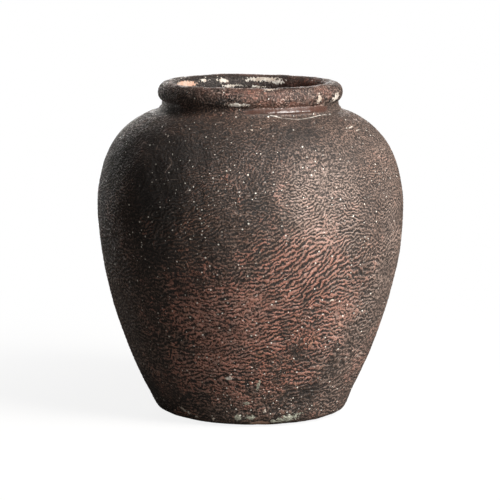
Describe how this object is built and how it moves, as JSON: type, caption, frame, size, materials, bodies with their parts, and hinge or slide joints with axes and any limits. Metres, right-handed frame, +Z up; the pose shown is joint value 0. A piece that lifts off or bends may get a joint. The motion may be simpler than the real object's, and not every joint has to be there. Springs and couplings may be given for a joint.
{
  "type": "round-bellied clay pot",
  "caption": "Hand-built dark slipped clay pot with a wide belly, a narrow flat base, a grooved neck and a thick rolled rim around an open mouth",
  "frame": {"origin": "centre of the flat resting face of the base, on the axis of the pot", "axes": "+Z up along the pot's axis of revolution, through the mouth; +X right and -Y towards the viewer"},
  "size_m": [0.2774, 0.2774, 0.3],
  "materials": {
    "floor_disc": "matte fired clay, bare and dusty underneath",
    "lower_wall": "matte dark slip over red clay, wrinkled and worn through to reddish brown",
    "belly_wall": "matte dark slip over red clay, wrinkled and partly worn through",
    "shoulder_wall": "matte dark brown slip with a pitted, dusty surface",
    "neck_collar": "matte dark slip, smoothed by hand, with a thin lime line",
    "rim_coil": "rough matte dark slip with pale grains and bare clay patches"
  },
  "bodies": {
    "root": {"floor_disc": "floor_disc", "lower_wall": "lower_wall", "belly_wall": "belly_wall", "shoulder_wall": "shoulder_wall", "neck_collar": "neck_collar", "rim_coil": "rim_coil"}
  },
  "joints": []
}
